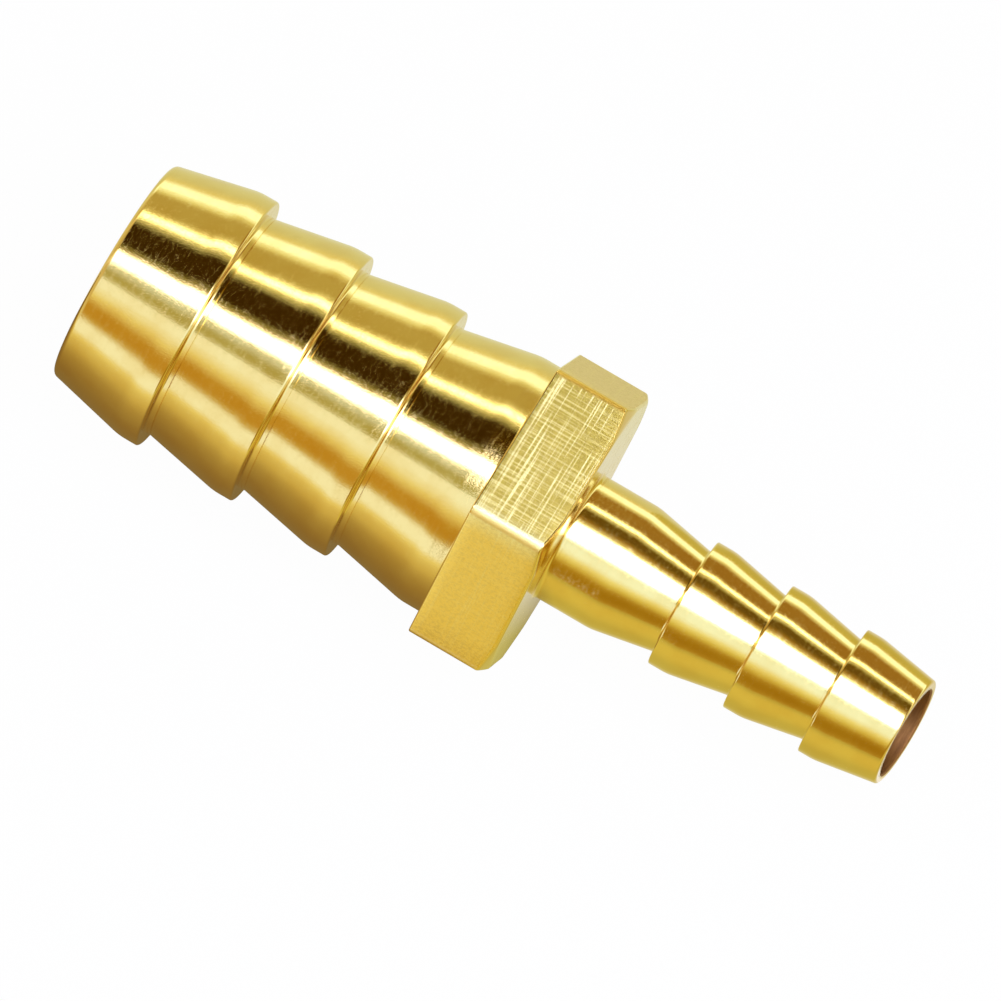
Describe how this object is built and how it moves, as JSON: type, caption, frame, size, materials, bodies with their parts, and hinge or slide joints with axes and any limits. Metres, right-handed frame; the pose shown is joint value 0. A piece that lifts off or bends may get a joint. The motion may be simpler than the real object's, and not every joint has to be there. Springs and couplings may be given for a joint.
{
  "type": "hose barb reducer",
  "caption": "Straight brass hose reducer: a large barbed tail and a small barbed tail on one bore, with a spanner hexagon between them.",
  "frame": {"origin": "centre of the large tail's end face, on the bore axis", "axes": "+X along the bore axis from the large tail to the small tail, +Z out of the hexagon's upper flat, with the part lying as in the picture"},
  "size_m": [0.0427, 0.0162, 0.014],
  "materials": {
    "turned_brass": "bright turned brass, with fine tool marks and a few scratches on the flats"
  },
  "bodies": {
    "root": {"reducer": "turned_brass"}
  },
  "joints": []
}
